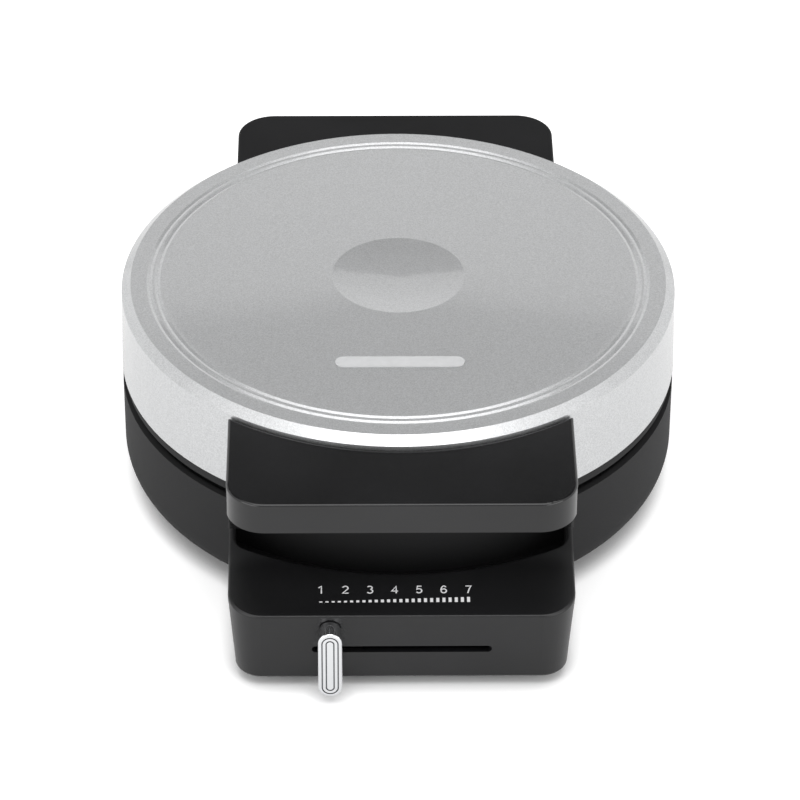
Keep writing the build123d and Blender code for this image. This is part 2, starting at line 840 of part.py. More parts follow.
def slider_carriage():
    """Carriage on the guide rod: socket for the stem in front, lever pin below."""
    carriage = box(slider_rest - carriage_half_length, slider_rest + carriage_half_length,
                   -carriage_front, -carriage_rear, carriage_bottom, carriage_top)
    carriage = fillet(carriage.edges().filter_by(Axis.Z), edge_round)
    carriage = carriage + box(slider_rest - tail_half_width, slider_rest + tail_half_width,
                              -carriage_rear - edge_round, -tail_rear,
                              carriage_bottom, tail_top)
    carriage = carriage - rod_x(rod_radius + running_play, -rod_y, slot_height,
                                slider_rest - 2 * carriage_half_length,
                                slider_rest + 2 * carriage_half_length)
    play = running_play
    carriage = carriage - box(slider_rest - stem_width / 2 - play,
                              slider_rest + stem_width / 2 + play,
                              -carriage_front - seat, -stem_end + play,
                              slot_height - stem_height / 2 - play,
                              slot_height + stem_height / 2 + play)
    return carriage + disc(lever_pin_radius, lever_pin_bottom, carriage_bottom + seat,
                           slider_rest, -lever_pin_y)


def guide_rod():
    """Steel rod between the two posts of the base cover."""
    return rod_x(rod_radius, -rod_y, slot_height, -rod_half_length, rod_half_length)


# Hinge: bracket with two slotted ears, floating pin and its clips
def hinge_bracket():
    """Steel bracket under the rear deck; its ears stand through the deck."""
    bracket = box(-bracket_half_length, bracket_half_length, hinge_y - bracket_front,
                  hinge_y + bracket_rear, bracket_top - bracket_sheet, bracket_top)
    for side in (-1, 1):
        low = side * ear_centre - ear_width / 2
        ear = box(low, low + ear_width, hinge_y - ear_half_depth, hinge_y + ear_half_depth,
                  bracket_top - bracket_sheet, hinge_height + hinge_float)
        ear = ear + rod_x(ear_half_depth, hinge_y, hinge_height + hinge_float,
                          low, low + ear_width)
        radius = hinge_pin_radius + hinge_play
        slot = box(low, low + ear_width, hinge_y - radius, hinge_y + radius,
                   hinge_height, hinge_height + hinge_float)
        for lift in (0, hinge_float):
            slot = slot + rod_x(radius, hinge_y, hinge_height + lift, low, low + ear_width)
        bracket = bracket + ear - slot
    for x, y in bracket_screw_places():
        bracket = bracket - disc(clear_radius, bracket_top - 2 * bracket_sheet,
                                 bracket_top + seat, x, y)
    return bracket


def hinge_bracket_screws():
    """Screws from below through the bracket into the deck's posts."""
    head = bracket_top - bracket_sheet - screw_head_height
    return group(screw(x, y, head, bracket_top + bracket_screw_length)
                 for x, y in bracket_screw_places())


def hinge_pin():
    """Steel pin through the lid's barrel and the bracket's slots."""
    reach = hinge_half_length + pin_overhang
    return rod_x(hinge_pin_radius, hinge_y, hinge_height, -reach, reach)


def hinge_pin_clips():
    """Push-on rings that keep the pin in place."""
    rings = []
    for side in (-1, 1):
        near = side * (hinge_half_length + ear_gap)
        far = side * (hinge_half_length + ear_gap + pin_clip_sheet)
        ring = rod_x(pin_clip_radius, hinge_y, hinge_height, min(near, far), max(near, far))
        rings.append(ring - rod_x(hinge_pin_radius + seat / 2, hinge_y, hinge_height,
                                  min(near, far) - seat, max(near, far) + seat))
    return group(rings)


# Electrical pieces in the base
def cord_gland():
    """Bushing in the rear wall for the mains lead."""
    flange = rod_y_way(gland_flange_radius, 0, gland_height, rear_face_at_gland, rear_end)
    sleeve = rod_y_way(gland_radius, 0, gland_height, rear_end - gland_length, rear_end)
    return flange + sleeve - rod_y_way(gland_bore, 0, gland_height,
                                       rear_end - 2 * gland_length, rear_end + seat)


def terminal_block():
    """Screw terminals on the base cover."""
    low = cover_top + seat / 2
    half = terminal_width / 2
    deep = terminal_depth / 2
    block = box(-half, half, terminal_y - deep, terminal_y + deep, low, low + terminal_tall)
    pitch = terminal_width / terminal_poles
    for pole in range(terminal_poles):
        middle = (pole + 0.5) * pitch - half
        block = block - disc(screw_radius, low + terminal_tall / 2,
                             low + terminal_tall + seat, middle, terminal_y)
    return block


def thermal_fuse():
    """Cut-out that lies against the back of the plate."""
    height = lower_back - fuse_radius - seat / 2
    fuse = rod_x(fuse_radius, fuse_y, height, -fuse_length / 2, fuse_length / 2)
    return fuse + rod_x(fuse_radius / 3, fuse_y, height, -fuse_length, fuse_length)


def lead(points, bend):
    """Round lead along straight runs joined by arcs."""
    route = FilletPolyline(*points, radius=bend)
    start = Plane(origin=route @ 0, z_dir=route % 0)
    return sweep(start * Circle(lead_radius), path=route)


# Lid: cover, frame, handle, hinge block and window
def ball_height(radius, rim_radius, rim_height, rise):
    """Height at a radius of a ball's surface whose middle is a rise above its rim."""
    ball = (rim_radius ** 2 + rise ** 2) / (2 * rise)
    centre = rim_height + rise - ball
    return centre + math.copysign(math.sqrt(ball ** 2 - radius ** 2), ball)


def dome_height(radius):
    """Height of the cover's shallow dome at a radius."""
    return ball_height(radius, dome_radius, lid_top, dome_rise)


def dish_height(radius):
    """Height of the cover's centre dish at a radius."""
    return ball_height(radius, dish_radius, dome_height(dish_radius), -dish_depth)


def crown_arcs(drop):
    """The dish and the dome of the cover from the axis outwards, lowered by a drop."""
    dish_half = dish_radius / 2
    dome_half = (dish_radius + dome_radius) / 2
    rim = (dish_radius, dome_height(dish_radius) - drop)
    return [ThreePointArc((0, dish_height(0) - drop), (dish_half, dish_height(dish_half) - drop),
                          rim),
            ThreePointArc(rim, (dome_half, dome_height(dome_half) - drop),
                          (dome_radius, lid_top - drop))]


def cover_outline():
    """Outline of the drawn cover: dish, dome, embossed rings, bevel and band."""
    outer = [(dome_radius, lid_top)]
    for inset in groove_insets:
        radius = lid_flat_radius - inset
        outer += [(radius - groove_width / 2, lid_top), (radius, lid_top - groove_depth),
                  (radius + groove_width / 2, lid_top)]
    outer += [(lid_flat_radius, lid_top), (lid_shoulder_radius, band_top),
              (lid_band_radius, band_bottom), (lid_band_radius - sheet, band_bottom),
              (lid_shoulder_radius - sheet, band_top - sheet / 2),
              (lid_flat_radius - sheet / 2, lid_top - sheet), (dome_radius, lid_top - sheet)]
    axis = Line((0, dish_height(0) - sheet), (0, dish_height(0)))
    return make_face(Curve() + [*crown_arcs(0), Polyline(*outer), *crown_arcs(sheet), axis])


def lid_cover():
    """Drawn sheet cover with a slot for the window and a notch at each screwed end."""
    cover = revolve(Plane.XZ * cover_outline(), Axis.Z)
    play = frame_play / 2
    slot = extrude(SlotOverall(window_length + 2 * play, window_width + 2 * play),
                   amount=2 * window_width)
    cover = cover - Pos(0, -window_y, lid_top - window_width) * slot
    for side in (-1, 1):
        near, far = sorted((side * (lid_flat_radius - 4 * wall), side * 2 * lid_flat_radius))
        cover = cover - box(-notch_half_width, notch_half_width, near, far,
                            band_bottom - seat, notch_top)
    return cover


def lid_frame():
    """Black ring under the band, with an upstand, a plate ledge and four tabs."""
    ledge_low = mirrored_height(lower_parting - flange_thickness - ledge_gap)
    upstand_outer = lid_shoulder_radius - sheet - frame_play
    frame = turned([(frame_upstand_inner, lid_bottom),
                    (lid_band_radius - frame_step, lid_bottom),
                    (lid_band_radius - frame_step, frame_lip_height),
                    (lid_band_radius, frame_lip_height),
                    (lid_band_radius, band_bottom - frame_play),
                    (upstand_outer, band_bottom - frame_play),
                    (upstand_outer, frame_upstand), (frame_upstand_inner, frame_upstand),
                    (frame_upstand_inner, ledge_low + 2 * ledge_thickness),
                    (ledge_inner_radius, ledge_low + ledge_thickness),
                    (ledge_inner_radius, ledge_low), (frame_upstand_inner, ledge_low)])
    tab_low = mirrored_height(boss_bottom) + seat
    tab_inner = plate_screw_circle - frame_tab_reach
    for angle in plate_screw_angles:
        tab = box(tab_inner, frame_upstand_inner + seat, -frame_tab_half_width,
                  frame_tab_half_width, tab_low, frame_upstand)
        tab = tab - disc(clear_radius, tab_low - seat, frame_upstand + seat,
                         plate_screw_circle, 0)
        frame = frame + Rot(0, 0, angle) * tab
    for x, side in fixing_places():
        frame = frame - rod_y_way(clear_radius, x, fixing_height,
                                  *sorted((side * frame_upstand_inner / 2,
                                           side * 2 * lid_band_radius)))
    return frame


def mirrored_height(height):
    """The same height in the other half of the maker."""
    return 2 * parting_height - height


def fixing_places():
    """Level screws that hold the handle in front and the hinge block behind."""
    for x in (-front_fixing_x, front_fixing_x):
        yield x, -1
    for x in (-rear_fixing_x, rear_fixing_x):
        yield x, 1


def fixing_screws(front):
    """Screws from inside the frame into the handle or the hinge block."""
    screws = []
    for x, side in fixing_places():
        if (side < 0) == front:
            face = math.sqrt(frame_upstand_inner ** 2 - x ** 2) - fixing_face_gap
            ends = sorted((side * (face - screw_head_height), side * face))
            tip = sorted((side * face, side * (face + fixing_screw_length)))
            screws.append(rod_y_way(screw_head_radius, x, fixing_height, *ends)
                          + rod_y_way(screw_radius, x, fixing_height, *tip))
    return group(screws)


def upper_plate_screws():
    """Screws from above through the frame's tabs into the upper plate."""
    tip = mirrored_height(boss_bottom + plate_hole_depth - screw_play)
    return group(screw(x, y, frame_upstand + screw_head_height, tip)
                 for x, y in plate_screw_places())


def handle_profile(grow):
    """Side outline of the handle; grow moves its hollow underside into the handle."""
    radius = handle_hollow_radius + grow
    centre = handle_front - handle_lip_flat
    lip = handle_top - handle_lip + grow
    root = handle_root_bottom + grow
    level = handle_top - handle_lip - handle_hollow_radius
    start = centre - math.sqrt(radius ** 2 - (root - level) ** 2)
    middle = (centre - radius * math.sin(math.pi / 4), level + radius * math.sin(math.pi / 4))
    top = handle_top + 1
    lines = [Line((-body_radius / 2, root), (-start, root)),
             ThreePointArc((-start, root), (-middle[0], middle[1]), (-centre, lip)),
             Polyline((-centre, lip), (-handle_front - 1, lip), (-handle_front - 1, top),
                      (-body_radius / 2, top), (-body_radius / 2, root))]
    return make_face(Curve() + lines)


def handle_outer():
    """Outer form of the whole handle before it is split in two mouldings."""
    plan = block_plan(handle_front, handle_corner, block_half_width, True)
    form = extrude(Pos(0, 0, handle_root_bottom - 1) * plan,
                   amount=handle_top - handle_root_bottom + 1)
    form = fillet(form.edges().group_by(Axis.Z)[-1].sort_by(Axis.Y)[:-1], edge_round)
    side = extrude(Plane.YZ * handle_profile(0), amount=2 * block_half_width, both=True)
    form = form & side
    return form - disc(lid_band_radius + handle_band_gap, 0, 2 * lid_top)


def handle_hollow(inset):
    """Space inside the handle's upper moulding."""
    plan = block_plan(handle_front - inset, handle_corner - inset, block_half_width - inset,
                      True)
    space = extrude(plan, amount=handle_top - handle_wall)
    return space - disc(lid_band_radius + handle_band_gap + inset, 0, 2 * lid_top)


def lid_handle():
    """Upper moulding of the handle: top, front and sides, with bosses for its screws."""
    handle = handle_outer() - handle_hollow(handle_wall)
    lower = extrude(Plane.YZ * handle_profile(handle_wall + seat), amount=2 * block_half_width,
                    both=True)
    for x, side in fixing_places():
        if side < 0:
            boss = rod_y_way(fixing_boss_radius, x, fixing_height, -2 * body_radius, 0)
            boss = boss & disc(lid_band_radius + fixing_reach, 0, lid_top)
            handle = handle + (boss & handle_outer() & lower)
            handle = handle - rod_y_way(tapped_radius, x, fixing_height, -2 * body_radius, 0)
    for x in (-handle_screw_x, handle_screw_x):
        handle = handle + disc(handle_screw_boss, screw_pad_top + seat,
                               handle_top - handle_wall + seat, x, -handle_screw_y)
        handle = handle - disc(tapped_radius, screw_pad_top, handle_top - handle_wall, x,
                               -handle_screw_y)
    return handle


def handle_underside():
    """Lower moulding that closes the handle and forms the finger hollow."""
    inset = handle_wall + handle_split
    shape = handle_outer() & handle_hollow(inset)
    upper = extrude(Plane.YZ * handle_profile(handle_wall), amount=2 * block_half_width,
                    both=True)
    shape = shape - upper
    for x in (-handle_screw_x, handle_screw_x):
        pad = disc(handle_screw_boss + wall, handle_lip_top - seat, screw_pad_top, x,
                   -handle_screw_y)
        shape = shape + (pad & handle_hollow(inset))
        shape = shape - disc(clear_radius, 0, lid_top, x, -handle_screw_y)
        shape = shape - disc(screw_head_radius + screw_play, 0, handle_screw_seat(), x,
                             -handle_screw_y)
    for x, side in fixing_places():
        if side < 0:
            shape = shape - rod_y_way(fixing_boss_radius + seat, x, fixing_height,
                                      -2 * body_radius, 0)
    return shape


def handle_screw_seat():
    """Height of the seat under the sunk heads of the handle's screws."""
    return handle_top - handle_lip + handle_screw_recess + screw_head_height


def handle_screws():
    """Screws with sunk heads that join the two mouldings of the handle."""
    head = handle_screw_seat() - screw_head_height
    tip = handle_top - handle_wall - seat
    return group(screw(x, -handle_screw_y, head, tip) for x in (-handle_screw_x, handle_screw_x))


def lid_hinge_block():
    """Hollow block behind the band, with the hinge barrel along its lower edge."""
    plan = block_plan(rear_reach, rear_corner, block_half_width, False)
    outer = extrude(Pos(0, 0, lid_bottom) * plan, amount=handle_top - lid_bottom)
    outer = fillet(outer.edges().group_by(Axis.Z)[-1].sort_by(Axis.Y)[1:], edge_round)
    band = lid_band_radius + handle_band_gap
    outer = outer - disc(band, 0, 2 * lid_top)
    inner_plan = block_plan(rear_reach - handle_wall, rear_corner - handle_wall,
                            block_half_width - handle_wall, False)
    hollow = extrude(Pos(0, 0, lid_bottom + handle_wall) * inner_plan,
                     amount=handle_top - lid_bottom - 2 * handle_wall)
    block = outer - (hollow - disc(band + handle_wall, 0, 2 * lid_top))
    block = block + rod_x(hinge_barrel_radius, hinge_y, hinge_height,
                          -hinge_half_length, hinge_half_length)
    block = block + box(-hinge_half_length, hinge_half_length, hinge_y - hinge_barrel_radius,
                        hinge_y + hinge_barrel_radius, hinge_height,
                        lid_bottom + handle_wall)
    for side in (-1, 1):
        half = ear_width / 2 + ear_gap
        block = block - rod_x(ear_sweep, hinge_y, hinge_height,
                              side * ear_centre - half, side * ear_centre + half)
    block = block - rod_x(hinge_pin_radius + hinge_play, hinge_y, hinge_height,
                          -block_half_width, block_half_width)
    for x, side in fixing_places():
        if side > 0:
            boss = rod_y_way(fixing_boss_radius, x, fixing_height, 0, rear_reach - handle_wall)
            boss = boss - disc(band, 0, lid_top)
            block = block + (boss & disc(band + fixing_reach, 0, lid_top))
            block = block - rod_y_way(tapped_radius, x, fixing_height, 0,
                                      band + fixing_reach)
    return block


def indicator_window():
    """Milky bar in the cover, held by a flange behind the sheet."""
    surface = dome_height(window_y)
    bar = extrude(Pos(0, -window_y, surface - sheet - seat) *
                  SlotOverall(window_length, window_width),
                  amount=sheet + seat + window_stand)
    flange = extrude(Pos(0, -window_y, surface - 2 * sheet - window_flange_sheet) *
                     SlotOverall(window_length + 2 * window_flange,
                                 window_width + 2 * window_flange),
                     amount=window_flange_sheet)
    neck = extrude(Pos(0, -window_y, surface - 2 * sheet - seat) *
                   SlotOverall(window_length, window_width), amount=sheet + seat)
    return bar + flange + neck


def lamp_holder():
    """Open tray under the window that carries the two lamps."""
    high = dome_height(window_y) - 2 * sheet - window_flange_sheet - seat
    low = high - lamp_holder_depth + lamp_holder_sheet
    half = lamp_holder_length / 2
    deep = lamp_holder_depth / 2
    tray = box(-half, half, -window_y - deep, -window_y + deep, low, high)
    thin = lamp_holder_sheet
    return tray - box(-half + thin, half - thin, -window_y - deep + thin,
                      -window_y + deep - thin, low + thin, high + seat)


def lamp(side):
    """Small lamp that lies in the tray."""
    high = dome_height(window_y) - 2 * sheet - window_flange_sheet - seat
    height = high - lamp_holder_depth + 2 * lamp_holder_sheet + lamp_radius + seat / 2
    middle = side * lamp_spread
    glass = rod_x(lamp_radius, -window_y, height, middle - lamp_length / 2,
                  middle + lamp_length / 2)
    return fillet(glass.edges(), lamp_radius / 3)


def base_leads():
    """Leads from the terminal block to the element and the thermostat."""
    block_face = terminal_y - terminal_depth / 2 - seat / 2
    pin_end = element_height - element_leg - 2 * element_tube - seat / 2
    outer_pole = terminal_width / terminal_poles * (terminal_poles - 1) / 2
    leads = []
    for x, y in element_ends():
        start = math.copysign(outer_pole, x)
        leads.append(lead(((start, block_face, lead_height), (x, y, lead_height),
                           (x, y, pin_end)), lead_bend))
    x, y = thermostat_lead_x, thermostat_lead_set - spindle_y
    leads.append(lead(((-outer_pole / 3, block_face, lead_height), (x, y, lead_height),
                       (x, y, thermostat_bottom - seat / 2)), lead_bend))
    return group(leads)


def lid_leads():
    """Leads from the upper element to the lamp tray."""
    tray_face = -window_y + lamp_holder_depth / 2 + seat / 2
    pin_end = mirrored_height(element_height - element_leg - 2 * element_tube - seat / 2)
    return group(lead(((x, y, pin_end), (x, y, lid_lead_height),
                       (x, tray_face, lid_lead_height)), lead_bend)
                 for x, y in element_ends())


# All pieces, by the name of their node
lower_plate = baking_plate()
lower_element = heating_element()
lower_clips = element_clips()
lower_shield = heat_shield()
lower_shield_screws = shield_screws()
pieces = {
    "base_shell": base_shell(),
    "base_cover": base_cover(),
    "rubber_feet": rubber_feet(),
    "base_cover_screws": base_cover_screws(),
    "lower_plate": lower_plate,
    "lower_plate_screws": lower_plate_screws(),
    "lower_element": lower_element,
    "lower_element_clips": lower_clips,
    "lower_heat_shield": lower_shield,
    "lower_shield_screws": lower_shield_screws,
    "thermostat_body": thermostat_body(),
    "thermostat_bracket": thermostat_bracket(),
    "thermal_fuse": thermal_fuse(),
    "terminal_block": terminal_block(),
    "base_leads": base_leads(),
    "cord_gland": cord_gland(),
    "guide_rod": guide_rod(),
    "hinge_bracket": hinge_bracket(),
    "hinge_bracket_screws": hinge_bracket_screws(),
    "slider_knob": slider_knob(),
    "slider_carriage": slider_carriage(),
    "thermostat_spindle": thermostat_spindle(),
    "fork_lever": fork_lever(),
    "hinge_pin": hinge_pin(),
    "hinge_pin_clips": hinge_pin_clips(),
    "lid_cover": lid_cover(),
    "lid_frame": lid_frame(),
    "lid_handle": lid_handle(),
    "handle_underside": handle_underside(),
    "handle_screws": handle_screws(),
    "handle_fixing_screws": fixing_screws(True),
    "lid_hinge_block": lid_hinge_block(),
    "hinge_block_screws": fixing_screws(False),
    "upper_plate": mirrored(lower_plate),
    "upper_plate_screws": upper_plate_screws(),
    "upper_element": mirrored(lower_element),
    "upper_element_clips": mirrored(lower_clips),
    "upper_heat_shield": mirrored(lower_shield),
    "upper_shield_screws": mirrored(lower_shield_screws),
    "indicator_window": indicator_window(),
    "lamp_holder": lamp_holder(),
    "red_lamp": lamp(-1),
    "green_lamp": lamp(1),
    "lid_leads": lid_leads(),
}
os.makedirs("parts", exist_ok=True)
for node, piece in pieces.items():
    save(piece, node)
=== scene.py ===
import math

import bpy
from mathutils import Matrix, Vector


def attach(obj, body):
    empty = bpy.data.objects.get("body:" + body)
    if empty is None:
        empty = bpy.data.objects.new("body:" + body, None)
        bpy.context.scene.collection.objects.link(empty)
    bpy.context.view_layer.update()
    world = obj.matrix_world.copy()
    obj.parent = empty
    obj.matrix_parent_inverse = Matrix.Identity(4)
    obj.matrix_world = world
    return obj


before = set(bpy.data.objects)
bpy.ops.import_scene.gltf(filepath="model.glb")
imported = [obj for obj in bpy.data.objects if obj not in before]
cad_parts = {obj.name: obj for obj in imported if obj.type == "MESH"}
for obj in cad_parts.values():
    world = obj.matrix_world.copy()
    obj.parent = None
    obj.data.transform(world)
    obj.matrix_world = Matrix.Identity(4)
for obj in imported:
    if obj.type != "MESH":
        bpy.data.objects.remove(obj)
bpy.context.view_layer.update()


# Base shell, base cover and the other black mouldings.
# They are injection-moulded from black heat-resistant PBT and screwed together. The moulds are
# spark-eroded, finely for the console and coarsely for the bowl; the handle is nearly smooth.
MM = 0.001
MM_PER_METRE = 1000.0
coarse_from_mm, coarse_to_mm = -110.0, -100.0


def linear(code):
    """An sRGB hex colour as a linear RGBA tuple."""
    parts = [int(code[place:place + 2], 16) / 255 for place in (1, 3, 5)]
    return (*(part / 12.92 if part <= 0.04045 else ((part + 0.055) / 1.055) ** 2.4
              for part in parts), 1.0)


def add(tree, kind, values=None, **settings):
    """Adds a shader node; values gives each socket its value, or the socket that feeds it."""
    made = tree.nodes.new("ShaderNode" + kind)
    for name, value in settings.items():
        setattr(made, name, value)
    for socket, value in (values or {}).items():
        if isinstance(value, bpy.types.NodeSocket):
            tree.links.new(value, made.inputs[socket])
        else:
            made.inputs[socket].default_value = value
    return made


def new_material(name):
    """An empty material: its node tree and the socket that takes its surface."""
    material = bpy.data.materials.new(name)
    material.use_nodes = True
    tree = material.node_tree
    tree.nodes.clear()
    return material, tree, add(tree, "OutputMaterial").inputs["Surface"]


def place_in_mm(tree):
    """The place on the object, in millimetres."""
    place = add(tree, "TexCoord").outputs["Object"]
    return add(tree, "VectorMath", {0: place, 1: (MM_PER_METRE,) * 3},
               operation="MULTIPLY").outputs["Vector"]


def per_mm(pitch):
    """Scale of a pattern that repeats once in a pitch given in millimetres."""
    return 1.0 / pitch


def black_plastic(name, tint, sheen_roughness, grain_depth, gloss, back_roughness=None):
    """Black PBT with an even grain; back_roughness is that of the bowl behind the console."""
    material, tree, surface = new_material(name)
    place = place_in_mm(tree)
    grain = add(tree, "TexNoise", {"Vector": place, "Scale": per_mm(0.45), "Detail": 2.0,
                                   "Roughness": 0.55})
    flow = add(tree, "TexNoise", {"Vector": place, "Scale": per_mm(38.0), "Detail": 3.0})
    shade = add(tree, "MapRange", {"Value": flow.outputs["Fac"], "From Min": 0.3,
                                   "From Max": 0.7, "To Min": 0.0, "To Max": 0.35})
    colour = add(tree, "Mix", {"Factor": shade.outputs["Result"], "A": linear(tint),
                               "B": linear("#202022")}, data_type="RGBA")
    sheen = add(tree, "MapRange", {"Value": grain.outputs["Fac"], "From Min": 0.25,
                                   "From Max": 0.75, "To Min": sheen_roughness - 0.03,
                                   "To Max": sheen_roughness + 0.04})
    roughness = sheen.outputs["Result"]
    if back_roughness:
        depth = add(tree, "SeparateXYZ", {"Vector": place}).outputs["Y"]
        coarse = add(tree, "MapRange", {"Value": depth, "From Min": coarse_from_mm,
                                        "From Max": coarse_to_mm, "To Min": 0.0,
                                        "To Max": back_roughness - sheen_roughness})
        roughness = add(tree, "Math", {0: roughness, 1: coarse.outputs["Result"]},
                        operation="ADD").outputs["Value"]
    relief = add(tree, "Bump", {"Height": grain.outputs["Fac"], "Strength": 0.35,
                                "Distance": grain_depth * MM})
    shader = add(tree, "BsdfPrincipled", {
        "Base Color": colour.outputs["Result"], "Roughness": roughness,
        "IOR": 1.5, "Specular IOR Level": gloss, "Normal": relief.outputs["Normal"]})
    tree.links.new(shader.outputs["BSDF"], surface)
    return material


def dress(material, *nodes):
    """Gives a material to CAD pieces."""
    for node in nodes:
        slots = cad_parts[node].data.materials
        slots.clear()
        slots.append(material)


dress(black_plastic("black_PBT_spark_eroded", "#111112", 0.32, 0.05, 0.47, 0.75),
      "base_shell", "lid_frame", "slider_carriage")
dress(black_plastic("black_PBT_handle", "#0d0d0e", 0.1, 0.008, 0.58),
      "lid_handle", "handle_underside")
dress(black_plastic("black_PBT_hinge_block", "#0f0f10", 0.36, 0.05, 0.08), "lid_hinge_block")
dress(black_plastic("black_PBT_cover", "#131314", 0.5, 0.07, 0.35), "base_cover")


# Rubber feet and gland.
# Four pads of black nitrile rubber, pressed into the shallow seats of the base cover, and a soft
# moulded gland in the rear wall. They are matt and show a faint chalky bloom.
def rubber(name, tint, bloom):
    """Matt moulded rubber: no clear highlight, a grey bloom that lies in patches."""
    material, tree, surface = new_material(name)
    place = place_in_mm(tree)
    patches = add(tree, "TexNoise", {"Vector": place, "Scale": per_mm(6.0), "Detail": 4.0})
    pores = add(tree, "TexNoise", {"Vector": place, "Scale": per_mm(0.6), "Detail": 2.0})
    share = add(tree, "MapRange", {"Value": patches.outputs["Fac"], "From Min": 0.45,
                                   "From Max": 0.75})
    colour = add(tree, "Mix", {"Factor": share.outputs["Result"], "A": linear(tint),
                               "B": linear(bloom)}, data_type="RGBA")
    relief = add(tree, "Bump", {"Height": pores.outputs["Fac"], "Strength": 0.4,
                                "Distance": 0.06 * MM})
    shader = add(tree, "BsdfPrincipled", {
        "Base Color": colour.outputs["Result"], "Roughness": 0.8, "IOR": 1.52,
        "Specular IOR Level": 0.3, "Normal": relief.outputs["Normal"]})
    tree.links.new(shader.outputs["BSDF"], surface)
    return material


dress(rubber("nitrile_rubber_feet", "#1b1b1b", "#2b2b2a"), "rubber_feet")
dress(rubber("soft_PVC_gland", "#151516", "#1f1f20"), "cord_gland")


# Scale on the console: plain numbers and marks.
# Numbers 1 to 7 over a rising row of marks, pad-printed in light grey ink on the console's
# sloping top, between the finger pocket and the front edge.
console_edge = Vector((0.0, -133.862, 35.5)) * MM
console_slope = math.radians(10.22)
slope = Vector((0.0, math.cos(console_slope), math.sin(console_slope)))
ink_thickness = 0.04 * MM
number_height = 3.7 * MM
number_width = 2.65 * MM
number_line = -122.45 * MM
stroke_width = 0.5 * MM
mitre_limit = 1.6
arc_steps = 10
mark_line = -126.8 * MM
first_mark = -30.2 * MM
number_pitch = 9.18 * MM
number_count = 7
marks_per_number = 4
mark_width = 1.15 * MM
mark_low, mark_high = 0.5 * MM, 2.45 * MM


def on_console(across, depth):
    """Place of the ink on the console's sloping top, from its width and depth coordinates."""
    along = (depth - console_edge.y) / slope.y
    normal = Vector((1.0, 0.0, 0.0)).cross(slope)
    return Vector((across, 0.0, 0.0)) + console_edge + slope * along + normal * ink_thickness


def printed_piece(name, outlines):
    """One mesh of printed shapes on the console, each outline a face of flat points."""
    points, faces = [], []
    for face in outlines:
        first = len(points)
        points += [on_console(x, y) for x, y in face]
        faces.append(tuple(range(first, len(points))))
    mesh = bpy.data.meshes.new(name)
    mesh.from_pydata(points, [], faces)
    mesh.update()
    piece = bpy.data.objects.new(name, mesh)
    bpy.context.scene.collection.objects.link(piece)
    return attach(piece, "base")


def bow(x, y, wide, tall, start, end):
    """Points of an elliptical arc, in shares of a number's width and height."""
    turns = [math.radians(start + (end - start) * step / arc_steps)
             for step in range(arc_steps + 1)]
    return [(x + wide * math.cos(turn), y + tall * math.sin(turn)) for turn in turns]


# Strokes of the plain numbers, in shares of their width and height.
number_strokes = {
    1: [[(0.16, 0.76), (0.56, 0.97), (0.56, 0.0)]],
    2: [bow(0.48, 0.72, 0.38, 0.25, 165, -35) + [(0.1, 0.05), (0.92, 0.05)]],
    3: [bow(0.46, 0.745, 0.34, 0.22, 150, -80), bow(0.48, 0.29, 0.4, 0.255, 80, -155)],
    4: [[(0.72, 0.0), (0.72, 0.94), (0.08, 0.31), (0.61, 0.31)], [(0.83, 0.31), (0.98, 0.31)]],
    5: [[(0.84, 0.95), (0.26, 0.95), (0.16, 0.52)] + bow(0.47, 0.33, 0.4, 0.28, 125, -150)],
    6: [bow(0.52, 0.33, 0.42, 0.64, 48, 172) + bow(0.5, 0.31, 0.38, 0.27, 170, -178)],
    7: [[(0.1, 0.95), (0.9, 0.95), (0.62, 0.55), (0.42, 0.0)]],
}


def stroke_faces(points):
    """Ribbon of even width along a stroke, mitred at its corners."""
    points = [Vector(point) for point in points]
    sides = []
    for place, point in enumerate(points):
        before = points[max(place - 1, 0)]
        after = points[min(place + 1, len(points) - 1)]
        ways = [way.normalized() for way in (point - before, after - point) if way.length > 0]
        way = sum(ways, Vector((0.0, 0.0))).normalized()
        stretch = 1 / max(way.dot(ways[0]), 1 / mitre_limit)
        side = Vector((-way.y, way.x)) * stretch * stroke_width / 2
        sides.append((point + side, point - side))
    return [(one[0], one[1], two[1], two[0]) for one, two in zip(sides, sides[1:])]


def number_faces(value, left, low):
    """Faces of one plain number, as flat points on the console."""
    faces = []
    for stroke in number_strokes[value]:
        faces += stroke_faces([(left + x * number_width, low + y * number_height * slope.y)
                               for x, y in stroke])
    return faces


numbers = []
for step in range(number_count):
    numbers += number_faces(step + 1, first_mark + step * number_pitch - number_width / 2,
                            number_line)
marks = []
mark_count = (number_count - 1) * marks_per_number + 1
for step in range(mark_count):
    left = first_mark + step * number_pitch / marks_per_number - mark_width / 2
    tall = mark_low + (mark_high - mark_low) * step / (mark_count - 1)
    marks.append([(left, mark_line), (left + mark_width, mark_line),
                  (left + mark_width, mark_line + tall), (left, mark_line + tall)])

material, tree, surface = new_material("pad_printed_grey_ink")
cover = add(tree, "TexNoise", {"Vector": place_in_mm(tree), "Scale": per_mm(0.5),
                               "Detail": 2.0})
colour = add(tree, "Mix", {"Factor": cover.outputs["Fac"], "A": linear("#dcdcdd"),
                           "B": linear("#f2f2f3")}, data_type="RGBA")
shader = add(tree, "BsdfPrincipled", {"Base Color": colour.outputs["Result"],
                                      "Roughness": 0.55, "IOR": 1.5})
tree.links.new(shader.outputs["BSDF"], surface)
for piece in (printed_piece("scale_numbers", numbers), printed_piece("scale_marks", marks)):
    piece.data.materials.append(material)


# Slider knob.
# A die-cast zinc knob, polished and chrome-plated, with two engraved lines round its face. The
# plating mirrors the room, so it reads as almost white; the engraved lines are painted dark grey,
# a painted shade that stands in for the shade in their grooves.
# Its measures are in millimetres, across and up.
knob_centre = (-26.8, 19.0)
knob_half_tall = 14.85
knob_half_wide = 4.6
knob_insets = (1.62, 3.17)
knob_line_width = 0.5


